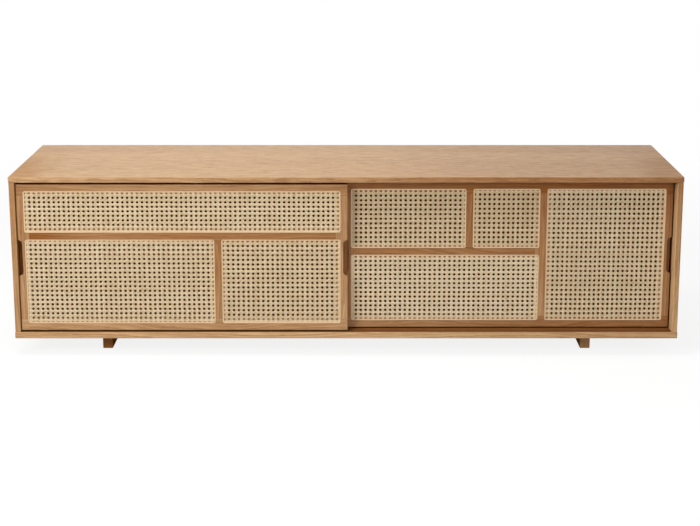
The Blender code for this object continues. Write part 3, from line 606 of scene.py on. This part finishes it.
def cane_web():
    """The webbing of one sheet, counted in cells: pairs of reeds at whole numbers, holes at halves."""
    tree = bpy.data.node_groups.new("cane_web", "GeometryNodeTree")
    tree.is_modifier = True
    wanted = (
        ("Width", "NodeSocketFloat"), ("Height", "NodeSocketFloat"), ("Corner", "NodeSocketVector"),
        ("Pitch Across", "NodeSocketFloat"), ("Pitch Up", "NodeSocketFloat"),
        ("Start Across", "NodeSocketFloat"), ("Start Up", "NodeSocketFloat"),
        ("Reed Width", "NodeSocketFloat"), ("Slant Width", "NodeSocketFloat"),
        ("Reed Thickness", "NodeSocketFloat"), ("Weave Rise", "NodeSocketFloat"),
        ("Edging Width", "NodeSocketFloat"), ("Edging Thickness", "NodeSocketFloat"),
        ("Edging Corner", "NodeSocketFloat"), ("Unevenness", "NodeSocketFloat"),
        ("Tone", "NodeSocketFloat"), ("Seed", "NodeSocketInt"), ("Material", "NodeSocketMaterial"),
    )
    for name, kind in wanted:
        tree.interface.new_socket(name, in_out="INPUT", socket_type=kind)
    tree.interface.new_socket("Geometry", in_out="OUTPUT", socket_type="NodeSocketGeometry")
    given = add(tree, "NodeGroupInput").outputs
    across = given["Pitch Across"]
    up = given["Pitch Up"]
    left = given["Start Across"]
    bottom = given["Start Up"]
    right = calc(tree, "ADD", left, calc(tree, "DIVIDE", given["Width"], across))
    top = calc(tree, "ADD", bottom, calc(tree, "DIVIDE", given["Height"], up))

    def place(x=0.0, y=0.0, z=0.0):
        return add(tree, "ShaderNodeCombineXYZ", {"X": x, "Y": y, "Z": z}).outputs[0]

    def here(axis):
        return split(tree, add(tree, "GeometryNodeInputPosition").outputs[0])[axis]

    def note(geometry, name, value, domain="POINT"):
        plugs = {"Geometry": geometry, "Name": name, "Value": value}
        noted = add(tree, "GeometryNodeStoreNamedAttribute", plugs, data_type="FLOAT", domain=domain)
        return noted.outputs[0]

    def line(start, end):
        return add(tree, "GeometryNodeCurvePrimitiveLine", {"Start": start, "End": end}).outputs[0]

    def row(start, step, count):
        plugs = {"Count": count, "Start Location": start, "Offset": step}
        return add(tree, "GeometryNodeMeshLine", plugs).outputs[0]

    def cut(curve, count):
        return add(tree, "GeometryNodeResampleCurve", {"Curve": curve, "Count": count}).outputs[0]

    def moved(geometry, **plugs):
        return add(tree, "GeometryNodeSetPosition", {"Geometry": geometry, **plugs}).outputs[0]

    def without(points, unwanted):
        plugs = {"Geometry": points, "Selection": unwanted}
        return add(tree, "GeometryNodeDeleteGeometry", plugs).outputs[0]

    def stepped(value, rounding, step, offset=0.0):
        steps = calc(tree, rounding, calc(tree, "DIVIDE", calc(tree, "SUBTRACT", value, offset), step))
        return calc(tree, "MULTIPLY_ADD", steps, step, offset)

    def section(width):
        plugs = {"Resolution": REED_CORNERS, "Radius": 0.5}
        circle = add(tree, "GeometryNodeCurvePrimitiveCircle", plugs).outputs[0]
        circle = note(circle, "reed_across", here("X"))
        plugs = {"Geometry": circle, "Scale": place(width, given["Reed Thickness"], 1.0)}
        return add(tree, "GeometryNodeTransform", plugs).outputs[0]

    def reed(curve, profile):
        along = add(tree, "GeometryNodeSplineParameter").outputs["Length"]
        flat = add(tree, "GeometryNodeSetCurveNormal", {"Curve": curve}, mode="Z_UP").outputs[0]
        plugs = {"Curve": note(flat, "reed_along", along), "Profile Curve": profile, "Fill Caps": True}
        solid = add(tree, "GeometryNodeCurveToMesh", plugs).outputs[0]
        return add(tree, "GeometryNodeSetShadeSmooth", {"Geometry": solid}).outputs[0]

    def repeated(points, instance, number, scale=(1.0, 1.0, 1.0)):
        plugs = {"Points": points, "Instance": instance, "Scale": scale}
        laid = add(tree, "GeometryNodeInstanceOnPoints", plugs).outputs[0]
        seed = calc(tree, "ADD", given["Seed"], number)
        chance = add(tree, "FunctionNodeRandomValue", {"Seed": seed}, data_type="FLOAT").outputs["Value"]
        return note(laid, "reed_tone", calc(tree, "ADD", chance, given["Tone"]), "INSTANCE")

    def pairs(low, high, pitch, size, axis):
        first = calc(tree, "FLOOR", low)
        count = calc(tree, "SUBTRACT", calc(tree, "CEIL", high), first)
        half = calc(tree, "MULTIPLY", given["Reed Width"], 0.5)
        for share in (REED_SPREAD, 1 - REED_SPREAD):
            start = calc(tree, "SUBTRACT", calc(tree, "ADD", first, share), low)
            start = calc(tree, "MULTIPLY", start, pitch)
            points = row(place(**{axis: start}), place(**{axis: pitch}), count)
            spot = here(axis.upper())
            short = calc(tree, "LESS_THAN", spot, half)
            past = calc(tree, "GREATER_THAN", spot, calc(tree, "SUBTRACT", size, half))
            yield without(points, calc(tree, "MAXIMUM", short, past))

    straight = section(given["Reed Width"])
    webbing = []

    upright = cut(line((0, 0, 0), place(y=given["Height"])), calc(tree, "SUBTRACT", top, bottom))
    for number, points in enumerate(pairs(left, right, across, given["Width"], "x")):
        webbing.append(repeated(points, reed(upright, straight), number))

    begin = stepped(left, "CEIL", QUARTER_CELL, REED_SPREAD)
    end = stepped(right, "FLOOR", QUARTER_CELL, REED_SPREAD)
    length = calc(tree, "SUBTRACT", end, begin)
    level = cut(line(place(begin), place(end)),
                calc(tree, "MULTIPLY_ADD", length, 1 / QUARTER_CELL, ONE_MORE_ROUNDED))
    turn = calc(tree, "MULTIPLY", here("X"), 2 * math.pi)
    dip = calc(tree, "MULTIPLY", calc(tree, "SINE", calc(tree, "MULTIPLY", turn, 2.0)),
               calc(tree, "POWER", calc(tree, "COSINE", calc(tree, "MULTIPLY", turn, 0.5)), 2.0))
    dip = calc(tree, "MULTIPLY", dip, calc(tree, "MULTIPLY", given["Weave Rise"], LEVEL_REED_DIP))
    reach = calc(tree, "MULTIPLY", calc(tree, "SUBTRACT", here("X"), left), across)
    for number, points in enumerate(pairs(bottom, top, up, given["Height"], "y")):
        woven = moved(level, Position=place(reach, z=calc(tree, "MULTIPLY", dip, 1.0 - 2.0 * number)))
        webbing.append(repeated(points, reed(woven, straight), 2 + number))

    slant_section = section(given["Slant Width"])
    for number, sign in enumerate((1.0, -1.0)):
        low = bottom if sign > 0 else calc(tree, "MULTIPLY", top, -1.0)
        high = top if sign > 0 else calc(tree, "MULTIPLY", bottom, -1.0)
        nearest = stepped(calc(tree, "ADD", left, low), "CEIL", 1.0, 0.5)
        farthest = stepped(calc(tree, "ADD", right, high), "FLOOR", 1.0, 0.5)
        count = calc(tree, "ADD", calc(tree, "SUBTRACT", farthest, nearest), ONE_MORE_ROUNDED)
        lines = row(place(nearest), (1, 0, 0), count)
        total = here("X")
        first = calc(tree, "MAXIMUM", left, calc(tree, "SUBTRACT", total, high))
        first = stepped(first, "CEIL", QUARTER_CELL)
        last = calc(tree, "MINIMUM", right, calc(tree, "SUBTRACT", total, low))
        last = stepped(last, "FLOOR", QUARTER_CELL)
        lines = note(lines, "slant_run", calc(tree, "SUBTRACT", last, first))
        plugs = {"Name": "slant_run"}
        run = add(tree, "GeometryNodeInputNamedAttribute", plugs, data_type="FLOAT").outputs[0]
        lines = without(lines, calc(tree, "LESS_THAN", run, SHORTEST_SLANT))
        lines = moved(lines, Position=place(first, calc(tree, "SUBTRACT", total, first)))
        laid = repeated(lines, line((0, 0, 0), (1, -1, 0)), 4 + number, place(run, run, 1.0))
        loose = add(tree, "GeometryNodeRealizeInstances", {"Geometry": laid}).outputs[0]
        plugs = {"Curve": loose, "Length": SLANT_STEP}
        quartered = add(tree, "GeometryNodeResampleCurve", plugs, mode="LENGTH").outputs[0]
        lift = calc(tree, "COSINE", calc(tree, "MULTIPLY", here("X"), 2 * math.pi))
        lift = calc(tree, "MULTIPLY", lift, calc(tree, "MULTIPLY", given["Weave Rise"], sign))
        height = calc(tree, "SUBTRACT", calc(tree, "MULTIPLY", here("Y"), sign), bottom)
        spot = place(reach, calc(tree, "MULTIPLY", height, up), lift)
        webbing.append(reed(moved(quartered, Position=spot), slant_section))

    def rounded(width, height, radius, steps):
        plugs = {"Width": width, "Height": height}
        outline = add(tree, "GeometryNodeCurvePrimitiveQuadrilateral", plugs).outputs[0]
        plugs = {"Curve": outline, "Count": steps, "Limit Radius": True, "Radius": radius}
        return add(tree, "GeometryNodeFilletCurve", plugs, mode="POLY").outputs[0]

    border = rounded(calc(tree, "SUBTRACT", given["Width"], given["Edging Width"]),
                     calc(tree, "SUBTRACT", given["Height"], given["Edging Width"]),
                     given["Edging Corner"], EDGING_CORNER_STEPS)
    bar = rounded(given["Edging Width"], given["Edging Thickness"], EDGING_ROUNDING, EDGING_ROUNDING_STEPS)
    bar = note(bar, "reed_across", calc(tree, "DIVIDE", here("X"), given["Edging Width"]))
    edging = note(reed(border, bar), "reed_tone", EDGING_TONE)
    middle = place(calc(tree, "MULTIPLY", given["Width"], 0.5), calc(tree, "MULTIPLY", given["Height"], 0.5))
    plugs = {"Geometry": edging, "Translation": middle}
    webbing.append(add(tree, "GeometryNodeTransform", plugs).outputs[0])

    gathered = add(tree, "GeometryNodeJoinGeometry")
    for piece in webbing:
        tree.links.new(piece, gathered.inputs[0])
    plugs = {"Geometry": gathered.outputs[0], "Translation": given["Corner"], "Rotation": (math.pi / 2, 0, 0)}
    stood = add(tree, "GeometryNodeTransform", plugs).outputs[0]
    whole = add(tree, "GeometryNodeRealizeInstances", {"Geometry": stood}).outputs[0]
    position = add(tree, "GeometryNodeInputPosition").outputs[0]
    plugs = {"Vector": position, "Scale": UNEVEN_SCALE, "Detail": 1.0}
    drift = add(tree, "ShaderNodeTexNoise", plugs).outputs[1]
    drift = calc_vector(tree, "SUBTRACT", drift, (0.5, 0.5, 0.5))
    drift = calc_vector(tree, "MULTIPLY", drift, place(given["Unevenness"], 0.0, given["Unevenness"]))
    plugs = {"Geometry": moved(whole, Offset=drift), "Material": given["Material"]}
    dressed = add(tree, "GeometryNodeSetMaterial", plugs).outputs[0]
    add(tree, "NodeGroupOutput", {"Geometry": dressed})
    return tree


CANE_PALE = srgb(236, 215, 179)
CANE_WARM = srgb(214, 186, 143)
CANE_SHADE_AND_MARK = srgb(174, 128, 74)
CANE_EDGING = srgb(221, 189, 151)
CANE_FIBRE_SCALE = (70, 9, 1)
CANE_BLOTCH_SCALE = (24, 0.5, 1)
CANE_MARK_SCALE = (11, 0.2, 1)
REED_APART = 90.0
CANE_TONE_SHARE = 0.45
CANE_FIBRE_SHARE = 0.35
CANE_BLOTCH_SHARE = 0.35
CANE_MARK_SHARE = 0.35
CANE_RIM_SHARE = 0.45
CANE_ROUGHNESS = (0.38, 0.56)
CANE_RELIEF = (0.2, 0.0002)
CANE_GLOSS = 0.3


def peeled_cane():
    """Glossy straw-coloured reeds, each of its own tone, with fibres along them, darker growth marks and
    painted shade along their rims.
    """
    material, tree, shader = new_material("peeled_cane")

    def noted(name):
        return add(tree, "ShaderNodeAttribute", attribute_name=name).outputs["Fac"]

    tone = noted("reed_tone")
    across = noted("reed_across")
    plugs = {"X": noted("reed_along"), "Y": across, "Z": calc(tree, "MULTIPLY", tone, REED_APART)}
    point = add(tree, "ShaderNodeCombineXYZ", plugs).outputs[0]
    fibre = noise(tree, point, CANE_FIBRE_SCALE)
    blotch = noise(tree, point, CANE_BLOTCH_SCALE)
    mark = fade(tree, noise(tree, point, CANE_MARK_SCALE, 0.0), 0.70, 0.76)
    shade = calc(tree, "MULTIPLY", fibre, CANE_FIBRE_SHARE)
    shade = calc(tree, "MULTIPLY_ADD", tone, CANE_TONE_SHARE, shade)
    shade = calc(tree, "MULTIPLY_ADD", blotch, CANE_BLOTCH_SHARE, shade)
    color = blend(tree, fade(tree, shade, 0.25, 0.95), CANE_PALE, CANE_WARM)
    # Painted shade: the rims of the reeds are darkened, as if their curved sides were in shade.
    rim = fade(tree, calc(tree, "ABSOLUTE", across), 0.30, 0.50, 0.0, CANE_RIM_SHARE)
    color = blend(tree, rim, color, CANE_SHADE_AND_MARK)
    color = blend(tree, calc(tree, "MULTIPLY", mark, CANE_MARK_SHARE), color, CANE_SHADE_AND_MARK)
    color = blend(tree, calc(tree, "GREATER_THAN", tone, EDGING_TONE - 0.1), color, CANE_EDGING)
    dress(tree, shader, color, fade(tree, fibre, 0.2, 0.8, *CANE_ROUGHNESS), fibre, CANE_RELIEF)
    shader.inputs["Specular IOR Level"].default_value = CANE_GLOSS
    return material


# How each sheet was cut from the roll, across and then up: how far its first and its last holes lie from its
# edges, and the number of steps between them. Then comes how much darker than the rest the sheet is, partly
# its own tone and partly painted light and shade, darkest on the right door's upper sheets under the overhang
# of the top.
CANE_CUTS = {
    ("left_door", "upper_cane"): ((0.0160, 0.0190, 62), (0.0207, 0.0174, 6), 0.08),
    ("left_door", "wide_cane"): ((0.0145, 0.0169, 36), (0.0150, 0.0153, 16), 0.08),
    ("left_door", "narrow_cane"): ((0.0170, 0.0222, 21), (0.0110, 0.0173, 16), 0.15),
    ("right_door", "upper_cane"): ((0.0134, 0.0153, 21), (0.0166, 0.0179, 10), 0.31),
    ("right_door", "small_cane"): ((0.0169, 0.0192, 11), (0.0161, 0.0149, 10), 0.44),
    ("right_door", "wide_cane"): ((0.0129, 0.0143, 36), (0.0160, 0.0169, 12), -0.28),
    ("right_door", "tall_cane"): ((0.0187, 0.0207, 22), (0.0185, 0.0148, 25), 0.08),
}
FIRST_HOLE = 1.5
web_tree = cane_web()
cane = peeled_cane()


def weave(body, sheet, number):
    """One sheet of webbing in the place of its solid."""
    node = f"{body}_{sheet}"
    low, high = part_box(node)
    size = high - low
    (left, right, columns), (bottom, top, rows), tone = CANE_CUTS[body, sheet]
    pitch_across = (size.x - left - right) / columns
    pitch_up = (size.z - bottom - top) / rows
    web = bpy.data.objects.new(node + "_web", bpy.data.meshes.new(node + "_web"))
    bpy.context.scene.collection.objects.link(web)
    modifier = web.modifiers.new("cane_web", "NODES")
    modifier.node_group = web_tree
    sizes = {
        "Width": size.x, "Height": size.z, "Corner": (low.x, (low.y + high.y) / 2, low.z),
        "Pitch Across": pitch_across, "Pitch Up": pitch_up,
        "Start Across": FIRST_HOLE - left / pitch_across, "Start Up": FIRST_HOLE - bottom / pitch_up,
        "Reed Width": REED_WIDTH, "Slant Width": SLANT_WIDTH,
        "Reed Thickness": REED_THICKNESS, "Weave Rise": WEAVE_RISE,
        "Edging Width": EDGING_WIDTH, "Edging Thickness": EDGING_THICKNESS,
        "Edging Corner": EDGING_CORNER, "Unevenness": WEAVE_UNEVENNESS,
        "Tone": tone, "Seed": CANE_SEED * number, "Material": cane,
    }
    for item in web_tree.interface.items_tree:
        if item.in_out == "INPUT":
            modifier[item.identifier] = sizes[item.name]
    evaluated = web.evaluated_get(bpy.context.evaluated_depsgraph_get())
    woven = bpy.data.meshes.new_from_object(evaluated)
    web.modifiers.clear()
    web.data = woven
    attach(web, body)
    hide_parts(node)


for number, (body, sheet) in enumerate(CANE_CUTS, 1):
    weave(body, sheet, number)


# Glides and guide pins: moulded dark brown nylon, two glides under each door and two pins on top of it.
# The glides run in the tracks of the base, and the pins in grooves under the top.
NYLON_BROWN = srgb(58, 38, 22)
NYLON_WORN = srgb(80, 56, 36)
NYLON_CLOUD_SCALE = (120, 400, 400)
NYLON_SCRATCH_SCALE = (90, 3000, 3000)
NYLON_ROUGHNESS = (0.36, 0.52)
NYLON_RELIEF = (0.15, 0.0001)
NYLON_GLOSS = 0.1


def moulded_nylon():
    """Waxy dark brown plastic, rubbed paler where it slides."""
    material, tree, shader = new_material("moulded_nylon")
    point = own_point(tree)
    cloud = noise(tree, point, NYLON_CLOUD_SCALE, 3.0)
    scratch = noise(tree, point, NYLON_SCRATCH_SCALE, 1.0)
    worn = calc(tree, "MULTIPLY", fade(tree, cloud, 0.35, 0.7), fade(tree, scratch, 0.3, 0.7, 0.4, 1.0))
    color = blend(tree, worn, NYLON_BROWN, NYLON_WORN)
    dress(tree, shader, color, fade(tree, scratch, 0.25, 0.75, *NYLON_ROUGHNESS), scratch, NYLON_RELIEF)
    shader.inputs["Specular IOR Level"].default_value = NYLON_GLOSS
    return material


nylon = moulded_nylon()
for door in ("left_door", "right_door"):
    for side in ("left", "right"):
        paint(nylon, f"{door}_{side}_glide", f"{door}_{side}_guide_pin")


# Studio: a plain white floor that keeps the cabinet's shadow, and a pale surround.
# Three soft lamps light the cabinet: a key lamp from the upper left, one above it and a broad fill.
FLOOR_SIZE = 60.0
FLOOR_DROP = 0.0002
FLOOR_LIFT = 0.86
FLOOR_SHADOW_SHARE = 0.16
FLOOR_BOUNCE = 0.45
FLOOR_NEAR = 1.3
FLOOR_FAR = 3.0
SURROUND_LIGHT = 0.34
FULL_WHITE = 1.0


def grey(level):
    """A grey of a given level."""
    return (level, level, level, 1.0)


def shown_directly(tree):
    """1 for what the camera sees, also by reflection or through glass."""
    path = add(tree, "ShaderNodeLightPath").outputs
    mirrored = calc(tree, "MAXIMUM", path["Is Glossy Ray"], path["Is Transmission Ray"])
    return calc(tree, "MAXIMUM", path["Is Camera Ray"], mirrored)


def studio_floor():
    """Plain white, lit to white away from the cabinet and shaded beside it, and clear from below."""
    material = bpy.data.materials.new("studio_floor")
    material.use_nodes = True
    tree = material.node_tree
    tree.nodes.clear()
    plugs = {0: own_point(tree)}
    distance = add(tree, "ShaderNodeVectorMath", plugs, operation="LENGTH").outputs["Value"]
    away = fade(tree, distance, FLOOR_NEAR, FLOOR_FAR)
    lit = add(tree, "ShaderNodeBsdfDiffuse", {"Color": grey(FLOOR_SHADOW_SHARE)}).outputs[0]
    glow = add(tree, "ShaderNodeEmission", {"Strength": FLOOR_LIFT}).outputs[0]
    white = add(tree, "ShaderNodeEmission", {"Strength": FULL_WHITE}).outputs[0]
    near = add(tree, "ShaderNodeAddShader", {0: lit, 1: glow}).outputs[0]
    seen = add(tree, "ShaderNodeMixShader", {0: away, 1: near, 2: white}).outputs[0]
    bounce = add(tree, "ShaderNodeBsdfDiffuse", {"Color": grey(FLOOR_BOUNCE)}).outputs[0]
    ground = add(tree, "ShaderNodeMixShader", {0: shown_directly(tree), 1: bounce, 2: seen}).outputs[0]
    clear = add(tree, "ShaderNodeBsdfTransparent").outputs[0]
    below = add(tree, "ShaderNodeNewGeometry").outputs["Backfacing"]
    surface = add(tree, "ShaderNodeMixShader", {0: below, 1: ground, 2: clear}).outputs[0]
    add(tree, "ShaderNodeOutputMaterial", {"Surface": surface})
    return material


bpy.ops.mesh.primitive_plane_add(size=FLOOR_SIZE, location=(0, 0, cad_low.z - FLOOR_DROP))
floor = bpy.context.object
floor.name = "floor"
floor.data.materials.append(studio_floor())
floor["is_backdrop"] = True

surround = bpy.data.worlds.new("surround")
surround.use_nodes = True
sky = surround.node_tree
sky.nodes.clear()
light = add(sky, "ShaderNodeBackground", {"Color": WHITE, "Strength": SURROUND_LIGHT}).outputs[0]
white = add(sky, "ShaderNodeBackground", {"Color": WHITE, "Strength": FULL_WHITE}).outputs[0]
mixed = add(sky, "ShaderNodeMixShader", {0: shown_directly(sky), 1: light, 2: white}).outputs[0]
add(sky, "ShaderNodeOutputWorld", {"Surface": mixed})
bpy.context.scene.world = surround

# The place, the size and the power of each lamp.
LAMPS = {
    "key_lamp": ((-1.9, -2.3, 1.6), 0.9, 47.0),
    "top_lamp": ((-0.6, -0.75, 2.6), 1.2, 32.0),
    "fill_lamp": ((1.6, -3.4, 0.8), 2.0, 36.0),
}
cabinet_middle = (cad_low + cad_high) / 2
for name, (spot, size, power) in LAMPS.items():
    lamp = bpy.data.lights.new(name, "AREA")
    lamp.size = size
    lamp.energy = power
    stand = bpy.data.objects.new(name, lamp)
    stand.location = spot
    stand.rotation_euler = (cabinet_middle - Vector(spot)).to_track_quat("-Z", "Y").to_euler()
    bpy.context.scene.collection.objects.link(stand)


# Camera: stands in front of the cabinet and above its top, and looks down at it a little.
# Its place, tilt and shift give the photograph's view in a picture 700 pixels wide.
IMAGE_WIDTH = 700
FOCAL_PIXELS = 1546.4
SENSOR_WIDTH = 36.0
CAMERA_SPOT = (0.022, -4.025, 1.253)
CAMERA_TILT = math.radians(12.22)
CAMERA_SHIFT = (-0.0069, -0.10)
eye = bpy.data.cameras.new("camera")
eye.sensor_width = SENSOR_WIDTH
eye.lens = SENSOR_WIDTH * FOCAL_PIXELS / IMAGE_WIDTH
eye.shift_x, eye.shift_y = CAMERA_SHIFT
camera = bpy.data.objects.new("camera", eye)
camera.location = CAMERA_SPOT
camera.rotation_euler = (math.pi / 2 - CAMERA_TILT, 0.0, 0.0)
bpy.context.scene.collection.objects.link(camera)
bpy.context.scene.camera = camera
bpy.context.scene.view_settings.view_transform = "Standard"

low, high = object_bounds()
